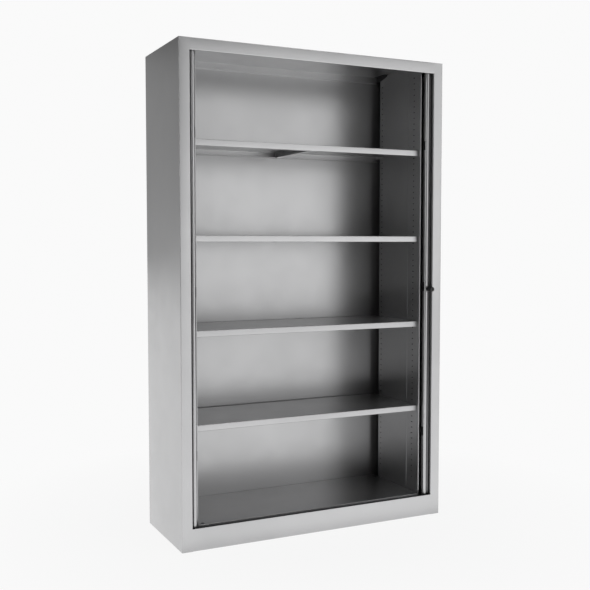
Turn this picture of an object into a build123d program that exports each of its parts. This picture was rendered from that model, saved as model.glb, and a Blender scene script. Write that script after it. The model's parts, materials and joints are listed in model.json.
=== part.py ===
from build123d import *
import math
import os

# Tall roll-front cabinet with two side-opening slatted curtains, four shelves and a three-point lock.
# Lengths are millimetres. X runs to the right, +Z is up. Every piece is modelled with Y as its depth
# behind the front plane, and is moved by FRONT_Y when it is written, so that the origin lies under
# the middle of the whole outline, lock knob included. The front faces -Y.

# ---- carcase ----
WIDTH = 1200.0
DEPTH = 430.0
HEIGHT = 1980.0
SHEET = 1.0
BEND = 2.0
FRAME_SIDE = 44.0
FRAME_HEAD = 46.0
PLINTH_HEIGHT = 89.0
PLINTH_FOOT = 25.0
HEM_HEIGHT = 10.0
FRAME_RETURN = 12.0
REAR_RETURN = 16.0
BACK_TRAY = 5.0
RAIL_HEIGHT = 29.0
RAIL_STANDOFF = 12.0
BRACKET_LENGTH = 97.0
BRACKET_HEIGHT = 22.0
BRACKET_SHEET = 2.2
BRACKET_FLANGE = 14.0
BRACKET_SQUARE = 35.0
BRACKET_NOSE = 8.0
SCREW_HEAD_R = 4.0
SCREW_PROUD = 1.5
SCREW_TAPER = 35
SCREW_HEIGHTS = (0.06, 0.28, 0.5, 0.72, 0.94)

# ---- base ----
DECK_TOP = 74.0
DECK_SKIRT = 25.0
FLOOR_RISE = 14.0
CHANNEL_WIDTH = 40.0
CHANNEL_HEIGHT = 28.0
CHANNEL_SHEET = 2.0
FOOT_INSET_X = 106.0
FOOT_INSET_Y = 58.0
FOOT_HOLE_R = 7.0
FOOT_STUD_R = 5.0
FOOT_PAD_R = 17.0
FOOT_PAD_HEIGHT = 9.0
FOOT_LIFT = 0.4
FOOT_SOCKET = 6.0
FOOT_TAPER = 20
FOOT_TRAVEL = 15.0
NUT_FLATS = 17.0
NUT_HEIGHT = 10.0

# ---- liners and their slotted uprights ----
SIDE_CAVITY = 82.0
LINER_FRONT = 43.0
LINER_REAR_GAP = 40.0
LINER_FLANGE = 3.5
LINER_LAP = 10.0
LINER_BEND = 1.5
FRONT_UPRIGHT_WIDTH = 95.0
REAR_UPRIGHT_WIDTH = 44.0
SLOT_WIDTH = 12.0
SLOT_HEIGHT = 4.5
SLOT_PITCH = 25.0
SLOT_START = 152.0
SLOT_END_MARGIN = 50.0
FRONT_SLOT_INSET = 54.0
REAR_SLOT_INSET = 21.0

# ---- shelves ----
SHELF_COUNT = 4
SHELF_STEPS = 15
SLOTS_BELOW_SHELVES = 13
SHELF_FRONT = 60.0
SHELF_BACK_GAP = 11.0
SHELF_LIP = 25.0
SHELF_LIP_RETURN = 18.0
SHELF_SIDE_SKIRT = 12.0
SHELF_GAP = 2.2
STIFFENER_WIDTH = 24.0
STIFFENER_TAB = 10.0
STIFFENER_NECK = 3.0
CLIP_WIDTH = 14.0
CLIP_SHEET = 1.7
CLIP_LEDGE = 8.0
CLIP_DROP = 6.0
CLIP_HOOK = 6.0
CLIP_PLAY = 1.0
CLAW_GAP = 0.3

# ---- curtains and tracks ----
CURTAIN_Y = 25.0
SIDE_RUN_INSET = 12.0
CORNER_R = 26.0
TURN_R = 27.0
TURN_INSET = 46.0
RETURN_RUN = 112.0
TRACK_WIDTH = 18.0
GROOVE_WIDTH = 10.0
GROOVE_DEPTH = 5.0
TRACK_HEIGHT = 8.0
TOP_TRACK_HEIGHT = 10.0
TOP_GROOVE_DEPTH = 7.0
TRACK_RIB = 4.0
THRESHOLD_FRONT = 2.8
THRESHOLD_GAP = 0.6
HEAD_TRACK_GAP = 8.0
THRESHOLD_CHAMFER = 1.2
SPARE_SLATS = 2
SLAT_PITCH = 16.0
SLAT_GAP = 0.6
SLAT_THICK = 7.0
SLAT_WALL = 1.2
SLAT_CHAMFER = 1.8
SLAT_BACK_TAPER = 1.1
SLAT_CLEAR = 0.5

# ---- leading stiles ----
NOSE_SETBACK = 11.0
MEETING_GAP = 1.0
STILE_TUBE = 20.5
STILE_WIDTH = 32.0
STILE_FRONT = 16.0
STILE_BACK = 38.0
STILE_WALL = 1.2
NOSE_FRONT_R = 10.0
NOSE_BACK_R = 6.0
GRIP_FLOOR = 27.0
GRIP_SHEET = 2.0
SLAT_HOLDER = 5.0
BOTTOM_CAP = 4.0
TOP_CAP = 6.0
CAP_GAP = 0.6
CAP_TONGUE = 16.0
CAP_PLAY = 0.3

# ---- three-point lock ----
LOCK_Z = 1002.0
LOCK_OFFSET = 14.5
UPPER_HOOK_RISE = 614.0
LOWER_HOOK_DROP = 642.0
KNOB_R = 11.5
KNOB_TIP_R = 10.0
KNOB_PROUD = 21.0
KNOB_BACK = 7.7
KNOB_COLLAR = 6.0
KNOB_ROUND = 2.0
COLLAR_R = 9.0
COLLAR_GAP = 0.3
COLLAR_SEAT = 6.0
CORE_R = 5.5
CORE_DEPTH = 2.0
CORE_RECESS = 0.3
KEY_SLOT = (6.0, 1.4, 1.5)
SPINDLE_R = 4.0
PIVOT_R = 2.5
FIT = 0.05
HOOK_Y = 25.5
HOOK_THICK = 3.0
HOOK_REACH = 28.0
HOOK_HALF = 4.0
HOOK_BARB = 5.0
HOOK_THROAT = 20.0
HOOK_ROUND = 2.0
CRANK_R = 5.0
CRANK_PIN_R = 1.5
CRANK_PLAY = 0.3
PIN_PROUD = 0.5
LOCK_TURN = 90.0
BAR_Y = 30.0
BAR_THICK = 2.0
BAR_INNER = 4.0
BAR_WIDTH = 10.0
BAR_END = 12.0
GUIDE_HEIGHT = 8.0
GUIDE_LAP = 2.0
GUIDE_CLEAR = 0.1
GUIDE_GAP = 60.0
GUIDE_SPREAD = 200.0
SLOT_BELOW = 5.5
SLOT_ABOVE = 27.5
SLOT_MOUTH = 5.0
BEZEL_RIM = 3.0
BEZEL_PROUD = 0.5
BEZEL_DEPTH = 3.0

# ---- worked out from the sizes above ----
FRONT_Y = KNOB_PROUD - (DEPTH + SCREW_PROUD + KNOB_PROUD) / 2
SIDE_IN = WIDTH / 2 - SHEET
OPEN_X = WIDTH / 2 - FRAME_SIDE
OPEN_TOP = HEIGHT - FRAME_HEAD
REAR_IN = WIDTH / 2 - REAR_RETURN
CEILING = HEIGHT - SHEET
BACK_FACE = DEPTH - SHEET - BACK_TRAY - SHEET
FLOOR_TOP = DECK_TOP + FLOOR_RISE
CHANNEL_BOTTOM = DECK_TOP - SHEET - CHANNEL_HEIGHT
NUT_BOTTOM = CHANNEL_BOTTOM + CHANNEL_SHEET
STUD_TOP = NUT_BOTTOM + NUT_HEIGHT + FOOT_TRAVEL
FOOT_X = WIDTH / 2 - FOOT_INSET_X
FOOT_YS = (FOOT_INSET_Y, DEPTH - FOOT_INSET_Y)
LINER_X = WIDTH / 2 - SIDE_CAVITY
LINER_REAR = BACK_FACE - LINER_REAR_GAP
SLOT_COUNT = int((CEILING - SLOT_END_MARGIN - SLOT_START) // SLOT_PITCH) + 1
CLIP_YS = (LINER_FRONT + FRONT_SLOT_INSET, LINER_REAR - REAR_SLOT_INSET)
SHELF_X = LINER_X - SHELF_GAP
SHELF_BACK = BACK_FACE - SHELF_BACK_GAP
SHELF_TOPS = [SLOT_START + CLIP_DROP + SLOT_PITCH * (SLOTS_BELOW_SHELVES + SHELF_STEPS * n)
              for n in range(SHELF_COUNT)]
SIDE_RUN_X = WIDTH / 2 - SIDE_RUN_INSET
TURN_Y = DEPTH - TURN_INSET
TRACK_END_Y = TURN_Y - RETURN_RUN
THRESHOLD_BACK = LINER_FRONT - THRESHOLD_GAP
TRACK_TOP = DECK_TOP + TRACK_HEIGHT
HEAD_TRACK = OPEN_TOP + HEAD_TRACK_GAP
SLAT_BOTTOM = TRACK_TOP - GROOVE_DEPTH + SLAT_CLEAR
SLAT_TOP = HEAD_TRACK + TOP_GROOVE_DEPTH - SLAT_CLEAR
NOSE_X = LINER_X + NOSE_SETBACK
STILE_BOTTOM = TRACK_TOP + BOTTOM_CAP
STILE_TOP = HEAD_TRACK - TOP_CAP
DOOR_TRAVEL = NOSE_X - MEETING_GAP
SLAT_COUNT = math.ceil(DOOR_TRAVEL / SLAT_PITCH) + SPARE_SLATS
LOCK_X = NOSE_X + LOCK_OFFSET
HOOK_ZS = {"upper": LOCK_Z + UPPER_HOOK_RISE, "middle": LOCK_Z, "lower": LOCK_Z - LOWER_HOOK_DROP}
GUIDE_ZS = (HOOK_ZS["lower"] + GUIDE_GAP, LOCK_Z - GUIDE_SPREAD, LOCK_Z + GUIDE_SPREAD,
            HOOK_ZS["upper"] - GUIDE_GAP)
CRANK_SIDE = CRANK_R * math.cos(math.radians(LOCK_TURN / 2))
CRANK_LIFT = CRANK_R * math.sin(math.radians(LOCK_TURN / 2))


def block(x, y, z):
    """A box between two values on each axis."""
    return Pos((x[0] + x[1]) / 2, (y[0] + y[1]) / 2, (z[0] + z[1]) / 2) * Box(
        x[1] - x[0], y[1] - y[0], z[1] - z[0])


def bar_along_y(x, z, radius, near, far):
    """A round bar along Y."""
    return Pos(x, (near + far) / 2, z) * Rot(90, 0, 0) * Cylinder(radius, far - near)


def folded(points, sheet=SHEET, bend=BEND):
    """The section of a sheet that is bent along a centre line."""
    return trace(FilletPolyline(*points, radius=bend), sheet)


def across(section, half):
    """A section drawn in (Y, Z), run out to both sides."""
    return extrude(Plane.YZ * section, half, both=True)


def upright(section, bottom, top):
    """A section drawn in (X, Y), stood up between two heights."""
    return extrude(Plane.XY.offset(bottom) * section, top - bottom)


def round_plate(x, y, z):
    """A plate whose four upright corners clear the bends of the panels around it."""
    plate = block((-x, x), y, z)
    return fillet(plate.edges().filter_by(Axis.Z), BEND)


def tray(x, y, z):
    """A shallow upside-down sheet pan with a skirt on four sides."""
    hollow = block((SHEET - x, x - SHEET), (y[0] + SHEET, y[1] - SHEET), (z[0], z[1] - SHEET))
    return round_plate(x, y, z) - hollow


def left(part):
    """The left-hand twin of a right-hand piece."""
    return mirror(part, Plane.YZ)


# ---- casing ----
def side_panel():
    """One sheet folded round the front and rear edges, with a return along the door opening only."""
    half = SHEET / 2
    middle = OPEN_X + FRAME_SIDE / 2
    wall = folded([(middle, half), (WIDTH / 2 - half, half), (WIDTH / 2 - half, DEPTH - half),
                   (REAR_IN, DEPTH - half)])
    edge = folded([(OPEN_X + half, FRAME_RETURN), (OPEN_X + half, half), (middle, half)])
    panel = upright(wall, 0, HEIGHT) + upright(edge, PLINTH_HEIGHT, OPEN_TOP)
    for z in ((0, PLINTH_HEIGHT), (OPEN_TOP, HEIGHT)):
        panel += block((OPEN_X, middle), (0, SHEET), z)
    return panel


def top_panel():
    half = SHEET / 2
    front = folded([(FRAME_RETURN, OPEN_TOP + half), (half, OPEN_TOP + half), (half, HEIGHT - half),
                    (DEPTH / 2, HEIGHT - half)])
    rear = folded([(DEPTH / 2, HEIGHT - half), (DEPTH - half, HEIGHT - half),
                   (DEPTH - half, HEIGHT - REAR_RETURN)])
    sheet = round_plate(SIDE_IN, (SHEET, DEPTH - SHEET), (CEILING, HEIGHT))
    return across(front, OPEN_X) + across(rear, REAR_IN) + sheet


def back_panel():
    """A pan with its show face to the front and its skirt seated on the rear returns."""
    thick = BACK_TRAY + SHEET
    pan = tray(SIDE_IN - BEND, (0, CEILING - BEND - DECK_TOP), (0, thick))
    return Pos(0, BACK_FACE + thick, DECK_TOP) * Rot(90, 0, 0) * pan


def back_panel_screws():
    """Pan heads along the rear returns."""
    head = extrude(Circle(SCREW_HEAD_R), SCREW_PROUD, taper=SCREW_TAPER)
    x = REAR_IN + REAR_RETURN / 2
    return [Pos(side * x, DEPTH, HEIGHT * share) * Rot(-90, 0, 0) * head
            for side in (-1, 1) for share in SCREW_HEIGHTS]


def plinth_front():
    half = SHEET / 2
    face = folded([(PLINTH_FOOT, half), (half, half), (half, PLINTH_HEIGHT)])
    hem = block((-OPEN_X, OPEN_X), (SHEET, 2 * SHEET), (PLINTH_HEIGHT - HEM_HEIGHT, PLINTH_HEIGHT))
    plinth = across(face, OPEN_X) + hem
    top = plinth.edges().filter_by(Axis.X).filter_by_position(Axis.Z, PLINTH_HEIGHT, PLINTH_HEIGHT)
    return fillet(top, SHEET * 0.45)


def plinth_rear():
    half = SHEET / 2
    face = folded([(DEPTH - PLINTH_FOOT, half), (DEPTH - half, half), (DEPTH - half, DECK_TOP)])
    return across(face, REAR_IN)


def rear_top_rail():
    half = SHEET / 2
    face = BACK_FACE - RAIL_STANDOFF
    bottom = CEILING - RAIL_HEIGHT
    section = folded([(face + half, CEILING), (face + half, bottom + half), (BACK_FACE, bottom + half)])
    return across(section, LINER_X)


def rear_top_bracket():
    far = BACK_FACE - RAIL_STANDOFF
    near = far - BRACKET_LENGTH
    plate = Polyline((near, CEILING), (far, CEILING), (far, CEILING - BRACKET_HEIGHT),
                     (far - BRACKET_SQUARE, CEILING - BRACKET_HEIGHT),
                     (near + BRACKET_NOSE, CEILING - BRACKET_NOSE), close=True)
    web = extrude(Plane.YZ.offset(LINER_X) * make_face(plate), -BRACKET_SHEET)
    flange = block((LINER_X - BRACKET_FLANGE, LINER_X), (near + BRACKET_NOSE, far),
                   (CEILING - BRACKET_SHEET, CEILING))
    return web + flange


# ---- base ----
def foot_holes(bottom, top, radius):
    return [Pos(x, y, (bottom + top) / 2) * Cylinder(radius, top - bottom)
            for x in (-FOOT_X, FOOT_X) for y in FOOT_YS]


def base_deck():
    deck = tray(SIDE_IN, (SHEET, DEPTH - SHEET), (DECK_TOP - DECK_SKIRT, DECK_TOP))
    return deck - foot_holes(DECK_TOP - SHEET, DECK_TOP, FOOT_HOLE_R)


def floor_pan():
    pan = tray(LINER_X, (LINER_FRONT, BACK_FACE), (DECK_TOP, FLOOR_TOP))
    front = pan.edges().filter_by(Axis.X).filter_by_position(Axis.Z, FLOOR_TOP, FLOOR_TOP).sort_by(Axis.Y)[0]
    return fillet(front, BEND) - foot_holes(FLOOR_TOP - SHEET, FLOOR_TOP, FOOT_HOLE_R)


def base_channel():
    top = DECK_TOP - SHEET
    half = CHANNEL_WIDTH / 2
    near, far = SHEET * 2, DEPTH - 2 * SHEET
    outer = block((FOOT_X - half, FOOT_X + half), (near, far), (CHANNEL_BOTTOM, top))
    inner = block((FOOT_X - half + CHANNEL_SHEET, FOOT_X + half - CHANNEL_SHEET), (near, far),
                  (NUT_BOTTOM, top))
    return outer - inner - foot_holes(CHANNEL_BOTTOM, NUT_BOTTOM, FOOT_STUD_R + SHEET)


def foot_nuts():
    nut = extrude(RegularPolygon(NUT_FLATS / 2, 6, major_radius=False) - Circle(FOOT_STUD_R), NUT_HEIGHT)
    return [Pos(x, y, NUT_BOTTOM) * nut for x in (-FOOT_X, FOOT_X) for y in FOOT_YS]


def foot():
    """A levelling foot at the origin: a tapered pad on a threaded stud with a hex socket on top."""
    pad = Pos(0, 0, FOOT_LIFT) * extrude(Circle(FOOT_PAD_R), FOOT_PAD_HEIGHT, taper=FOOT_TAPER)
    base = FOOT_LIFT + FOOT_PAD_HEIGHT
    stud = Pos(0, 0, base) * extrude(Circle(FOOT_STUD_R - FIT), STUD_TOP - base)
    socket = Pos(0, 0, STUD_TOP) * extrude(RegularPolygon(FOOT_STUD_R / 2, 6), -FOOT_SOCKET)
    return pad + stud - socket


# ---- liners ----
def slotted(strip, y):
    """Cuts one column of hanging slots through an upright."""
    slots = [block((LINER_X, LINER_X + SHEET), (y - SLOT_WIDTH / 2, y + SLOT_WIDTH / 2),
                   (z - SLOT_HEIGHT / 2, z + SLOT_HEIGHT / 2))
             for z in (SLOT_START + SLOT_PITCH * n for n in range(SLOT_COUNT))]
    return strip - slots


def front_upright():
    plane, front = LINER_X + SHEET / 2, LINER_FRONT + SHEET / 2
    section = folded([(LINER_X + LINER_FLANGE, front), (plane, front),
                      (plane, LINER_FRONT + FRONT_UPRIGHT_WIDTH + LINER_LAP)], bend=LINER_BEND)
    return slotted(upright(section, DECK_TOP, CEILING), CLIP_YS[0])


def rear_upright():
    plane, rear = LINER_X + SHEET / 2, LINER_REAR - SHEET / 2
    section = folded([(LINER_X + LINER_FLANGE, rear), (plane, rear),
                      (plane, LINER_REAR - REAR_UPRIGHT_WIDTH - LINER_LAP)], bend=LINER_BEND)
    return slotted(upright(section, DECK_TOP, CEILING), CLIP_YS[1])


def liner_panel():
    """The plain sheet lapped over the inner faces of the uprights, notched for the bracket."""
    span = (LINER_FRONT + FRONT_UPRIGHT_WIDTH, LINER_REAR - REAR_UPRIGHT_WIDTH)
    return block((LINER_X - SHEET, LINER_X), span, (FLOOR_TOP, CEILING)) - rear_top_bracket()


# ---- shelves ----
def shelf(top):
    half = SHEET / 2
    low = top - SHELF_LIP + half
    section = folded([(SHELF_FRONT + SHELF_LIP_RETURN, low), (SHELF_FRONT + half, low),
                      (SHELF_FRONT + half, top - half), (SHELF_BACK - half, top - half),
                      (SHELF_BACK - half, low), (SHELF_BACK - SHELF_LIP_RETURN, low)])
    board = across(section, SHELF_X)
    for x in ((-SHELF_X, SHEET - SHELF_X), (SHELF_X - SHEET, SHELF_X)):
        board += block(x, (SHELF_FRONT + SHEET, SHELF_BACK - SHEET), (top - SHELF_SIDE_SKIRT, top - half))
    return board


def shelf_stiffener(top):
    """A channel from the front lip to the rear lip under the middle of a shelf."""
    low, high = top - SHELF_LIP + SHEET, top - SHEET
    near, far = SHELF_FRONT + SHEET + BEND, SHELF_BACK - SHEET - BEND
    half = STIFFENER_WIDTH / 2
    outer = block((-half, half), (near, far), (low, high))
    inner = block((SHEET - half, half - SHEET), (near, far), (low + SHEET, high))
    channel = outer - inner
    reach = SHELF_LIP_RETURN - SHEET - BEND
    front_neck = (near + reach, near + reach + STIFFENER_NECK)
    rear_neck = (far - reach - STIFFENER_NECK, far - reach)
    for y in ((front_neck[0] - STIFFENER_TAB, front_neck[1]), (rear_neck[0], rear_neck[1] + STIFFENER_TAB)):
        channel += block((-half, half), y, (top - SHELF_LIP - SHEET, top - SHELF_LIP))
    for y in (front_neck, rear_neck):
        channel += block((-half, half), y, (top - SHELF_LIP - SHEET, low + SHEET))
    return channel


def shelf_clip(top, y):
    """A pressed clip: a plate on the liner, a ledge under the shelf and a hook through the slot."""
    ledge_top = top - SHELF_SIDE_SKIRT
    hook_z = top - CLIP_DROP
    near, far = y - CLIP_WIDTH / 2, y + CLIP_WIDTH / 2
    plate = block((LINER_X - CLIP_SHEET, LINER_X), (near, far), (ledge_top - CLIP_SHEET, top - SHEET))
    ledge = block((LINER_X - CLIP_LEDGE, LINER_X), (near, far), (ledge_top - CLIP_SHEET, ledge_top))
    width = (y - SLOT_WIDTH / 2 + CLIP_PLAY, y + SLOT_WIDTH / 2 - CLIP_PLAY)
    high = hook_z + SLOT_HEIGHT / 2 - CLIP_PLAY
    behind = LINER_X + SHEET + CLAW_GAP
    tongue = block((LINER_X, behind + CLIP_SHEET), width, (hook_z - SLOT_HEIGHT / 2, high))
    claw = block((behind, behind + CLIP_SHEET), width, (hook_z - CLIP_HOOK, high))
    return plate + ledge + tongue + claw


def shelf_clips(top):
    right = [shelf_clip(top, y) for y in CLIP_YS]
    return right + [left(clip) for clip in right]


# ---- tracks and curtains ----
def door_path(start_x):
    """The line that the right-hand curtain follows: front run, corner, side run, turn, return run."""
    front = Line((start_x, CURTAIN_Y), (SIDE_RUN_X - CORNER_R, CURTAIN_Y))
    corner = JernArc(start=front @ 1, tangent=(1, 0), radius=CORNER_R, arc_size=90)
    side = Line(corner @ 1, (SIDE_RUN_X, TURN_Y))
    turn = JernArc(start=side @ 1, tangent=(0, 1), radius=TURN_R, arc_size=180)
    back = Line(turn @ 1, (SIDE_RUN_X - 2 * TURN_R, TRACK_END_Y))
    return Wire([front, corner, side, turn, back])


def groove(bottom, top):
    return upright(trace(door_path(LINER_X - GROOVE_WIDTH), GROOVE_WIDTH), bottom, top)


def bottom_corner_track():
    body = upright(trace(door_path(LINER_X), TRACK_WIDTH), DECK_TOP, TRACK_TOP)
    body += block((LINER_X, SIDE_RUN_X - CORNER_R), (THRESHOLD_FRONT, THRESHOLD_BACK), (DECK_TOP, TRACK_TOP))
    return body - groove(TRACK_TOP - GROOVE_DEPTH, TRACK_TOP)


def top_corner_track():
    top = HEAD_TRACK + TOP_TRACK_HEIGHT
    body = upright(trace(door_path(LINER_X), TRACK_WIDTH), HEAD_TRACK, top)
    body += upright(trace(door_path(LINER_X), TRACK_RIB), top, CEILING)
    return body - groove(HEAD_TRACK, HEAD_TRACK + TOP_GROOVE_DEPTH)


def bottom_front_track():
    near, far = CURTAIN_Y - GROOVE_WIDTH / 2, CURTAIN_Y + GROOVE_WIDTH / 2
    body = block((-LINER_X, LINER_X), (THRESHOLD_FRONT, THRESHOLD_BACK), (DECK_TOP, TRACK_TOP))
    body -= block((-LINER_X, LINER_X), (near, far), (TRACK_TOP - GROOVE_DEPTH, TRACK_TOP))
    front = body.edges().filter_by(Axis.X).filter_by_position(Axis.Z, TRACK_TOP, TRACK_TOP).sort_by(Axis.Y)[0]
    return chamfer(front, THRESHOLD_CHAMFER)


def top_front_track():
    near, far = CURTAIN_Y - GROOVE_WIDTH / 2, CURTAIN_Y + GROOVE_WIDTH / 2
    half = TRACK_WIDTH / 2
    body = block((-LINER_X, LINER_X), (CURTAIN_Y - half, CURTAIN_Y + half),
                 (HEAD_TRACK, HEAD_TRACK + TOP_TRACK_HEIGHT))
    return body - block((-LINER_X, LINER_X), (near, far), (HEAD_TRACK, HEAD_TRACK + TOP_GROOVE_DEPTH))


def top_track_carrier():
    half = SHEET / 2
    low = HEAD_TRACK + TOP_TRACK_HEIGHT + half
    reach = TRACK_WIDTH / 2 - half
    section = folded([(CURTAIN_Y - reach, CEILING), (CURTAIN_Y - reach, low), (CURTAIN_Y + reach, low),
                      (CURTAIN_Y + reach, CEILING)])
    return across(section, LINER_X)


def slat():
    """One hollow slat, centred on the track line, its show face on the -Y side."""
    half, thick = (SLAT_PITCH - SLAT_GAP) / 2, SLAT_THICK / 2
    edge, heel = thick - SLAT_CHAMFER, half - SLAT_BACK_TAPER
    outline = Polyline((-half, -edge), (SLAT_CHAMFER - half, -thick), (half - SLAT_CHAMFER, -thick),
                       (half, -edge), (half, 0), (heel, thick), (-heel, thick), (-half, 0), close=True)
    bore_front, bore_back = half - SLAT_CHAMFER, heel - SLAT_WALL
    bore = Polyline((-bore_front, SLAT_WALL - thick), (bore_front, SLAT_WALL - thick),
                    (bore_back, thick - SLAT_WALL), (-bore_back, thick - SLAT_WALL), close=True)
    return upright(make_face(outline) - make_face(bore), SLAT_BOTTOM, SLAT_TOP)


def curtain():
    """The right-hand curtain in its stored place, wound round the side cavity."""
    outer_edge = NOSE_X + STILE_WIDTH
    path = door_path(outer_edge)
    body = slat()
    slats = []
    for n in range(SLAT_COUNT):
        here = path.location_at(SLAT_PITCH * (n + 0.5) + SLAT_GAP, position_mode=PositionMode.LENGTH).position
        way = path.tangent_at(SLAT_PITCH * (n + 0.5) + SLAT_GAP, position_mode=PositionMode.LENGTH)
        slats.append(Pos(here.X, here.Y, 0) * Rot(0, 0, math.degrees(math.atan2(way.Y, way.X))) * body)
    return slats


# ---- leading stiles ----
def nose_outline(shrink=0.0):
    """The rounded nose of a stile, or its bore when shrunk by the wall."""
    width, depth = STILE_TUBE - 2 * shrink, STILE_BACK - STILE_FRONT - 2 * shrink
    box = Pos(NOSE_X + STILE_TUBE / 2, (STILE_FRONT + STILE_BACK) / 2) * Rectangle(width, depth)
    box = fillet(box.vertices().group_by(Axis.Y)[0], NOSE_FRONT_R - shrink)
    heel = box.vertices().group_by(Axis.Y)[-1].sort_by(Axis.X)[0]
    return fillet(heel, NOSE_BACK_R - shrink)


def holder_outlines():
    """The strips behind the nose: the floor of the finger grip, and the edge that holds the first slat."""
    near, far = NOSE_X + STILE_TUBE, NOSE_X + STILE_WIDTH
    edge = far - SLAT_HOLDER
    grip = Pos((near + edge) / 2, GRIP_FLOOR + GRIP_SHEET / 2) * Rectangle(edge - near, GRIP_SHEET)
    holder = Pos((edge + far) / 2, CURTAIN_Y + SHEET) * Rectangle(SLAT_HOLDER, SLAT_THICK + 2 * GRIP_SHEET)
    return [grip, holder]


def stile_outline():
    grip, holder = holder_outlines()
    return nose_outline() + grip + holder


def bezel_span(z):
    return z - SLOT_BELOW - BEZEL_RIM, z + SLOT_ABOVE + BEZEL_RIM


def bezel_blank(z):
    mid = HOOK_Y + HOOK_THICK / 2
    half = SLOT_MOUTH / 2 + BEZEL_RIM
    return block((NOSE_X - BEZEL_PROUD, NOSE_X + BEZEL_DEPTH), (mid - half, mid + half), bezel_span(z))


def stile():
    nose = upright(nose_outline() - nose_outline(STILE_WALL), STILE_BOTTOM, STILE_TOP)
    strips = [upright(outline, STILE_BOTTOM, STILE_TOP) for outline in holder_outlines()]
    return [nose - [bezel_blank(z) for z in HOOK_ZS.values()], *strips]


def lock_stile():
    """The right-hand stile, bored for the knob's spindle."""
    hole = bar_along_y(LOCK_X, LOCK_Z, SPINDLE_R + FIT, 0, STILE_FRONT + NOSE_FRONT_R)
    nose, *strips = stile()
    return [nose - hole, *strips]


def slot_bezels():
    mid = HOOK_Y + HOOK_THICK / 2
    mouth = (mid - SLOT_MOUTH / 2, mid + SLOT_MOUTH / 2)
    span = (NOSE_X - BEZEL_PROUD, NOSE_X + BEZEL_DEPTH)
    return [bezel_blank(z) - block(span, mouth, (z - SLOT_BELOW, z + SLOT_ABOVE)) for z in HOOK_ZS.values()]


def stile_caps():
    """The moulded end caps of a stile, with the tongues that run in the track grooves."""
    near = NOSE_X + (STILE_TUBE - CAP_TONGUE) / 2
    half = GROOVE_WIDTH / 2 - CAP_PLAY
    along, depth = (near, near + CAP_TONGUE), (CURTAIN_Y - half, CURTAIN_Y + half)
    low = upright(stile_outline(), TRACK_TOP + CAP_GAP, STILE_BOTTOM)
    low += block(along, depth, (SLAT_BOTTOM, STILE_BOTTOM))
    high = upright(stile_outline(), STILE_TOP, HEAD_TRACK - CAP_GAP)
    high += block(along, depth, (STILE_TOP, SLAT_TOP))
    return [low, high]


# ---- lock ----
def lock_collar():
    seat = STILE_FRONT + COLLAR_SEAT
    ring = bar_along_y(LOCK_X, LOCK_Z, COLLAR_R, KNOB_BACK + COLLAR_GAP, seat)
    ring -= bar_along_y(LOCK_X, LOCK_Z, SPINDLE_R + FIT, 0, seat)
    return ring - upright(stile_outline(), LOCK_Z - 2 * COLLAR_R, LOCK_Z + 2 * COLLAR_R)


def lock_knob():
    """A tapered knob turned in one piece with its spindle and with the pivot of the middle hook."""
    length = KNOB_PROUD + KNOB_BACK
    shoulder, tail = KNOB_BACK - HOOK_Y, KNOB_BACK - HOOK_Y - HOOK_THICK
    half = make_face(Polyline(
        (0, tail), (PIVOT_R, tail), (PIVOT_R, shoulder), (SPINDLE_R, shoulder), (SPINDLE_R, 0), (KNOB_R, 0),
        (KNOB_R, KNOB_COLLAR), (KNOB_TIP_R, length), (CORE_R, length), (CORE_R, length - CORE_DEPTH),
        (0, length - CORE_DEPTH), close=True))
    rim = half.vertices().group_by(Axis.Y)[-1].sort_by(Axis.X)[-1]
    turned = revolve(Plane.XZ * fillet(rim, KNOB_ROUND), Axis.Z)
    return Pos(LOCK_X, KNOB_BACK, LOCK_Z) * Rot(90, 0, 0) * turned


def lock_core():
    core = bar_along_y(LOCK_X, LOCK_Z, CORE_R, CORE_RECESS - KNOB_PROUD, CORE_DEPTH - KNOB_PROUD)
    tall, wide = KEY_SLOT[0] / 2, KEY_SLOT[1] / 2
    key_way = block((LOCK_X - wide, LOCK_X + wide), (-KNOB_PROUD, KEY_SLOT[2] - KNOB_PROUD),
                    (LOCK_Z - tall, LOCK_Z + tall))
    return core - key_way


def hook(z):
    """A hook that points up when open and swings towards the other door when locked."""
    arm = Pos(0, HOOK_REACH / 2) * Rectangle(2 * HOOK_HALF, HOOK_REACH)
    tip = Pos(-HOOK_HALF - HOOK_BARB / 2, (HOOK_REACH + HOOK_THROAT) / 2) * Rectangle(
        HOOK_BARB, HOOK_REACH - HOOK_THROAT)
    crank = Pos(-CRANK_SIDE, CRANK_LIFT) * Circle(2 * CRANK_PIN_R)
    plate = Circle(HOOK_HALF) + arm + tip + crank
    corners = plate.vertices().group_by(Axis.Y)[-1]
    plate = fillet(corners, HOOK_ROUND) - Circle(PIVOT_R + FIT)
    solid = extrude(Plane.XZ * plate, -HOOK_THICK)
    solid += bar_along_y(-CRANK_SIDE, CRANK_LIFT, CRANK_PIN_R, HOOK_THICK,
                         BAR_Y + BAR_THICK + PIN_PROUD - HOOK_Y)
    return Pos(LOCK_X, HOOK_Y, z) * solid


def hook_pivots():
    """Shouldered pins on the inner front wall that carry the upper and lower hooks."""
    pins = []
    shoulder = HOOK_Y - GUIDE_CLEAR
    for z in (HOOK_ZS["upper"], HOOK_ZS["lower"]):
        bore = upright(nose_outline(STILE_WALL), z - SPINDLE_R, z + SPINDLE_R)
        pin = bar_along_y(LOCK_X, z, SPINDLE_R, STILE_FRONT, shoulder) & bore
        pins.append(pin + bar_along_y(LOCK_X, z, PIVOT_R, shoulder, HOOK_Y + HOOK_THICK + PIN_PROUD))
    return pins


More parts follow.
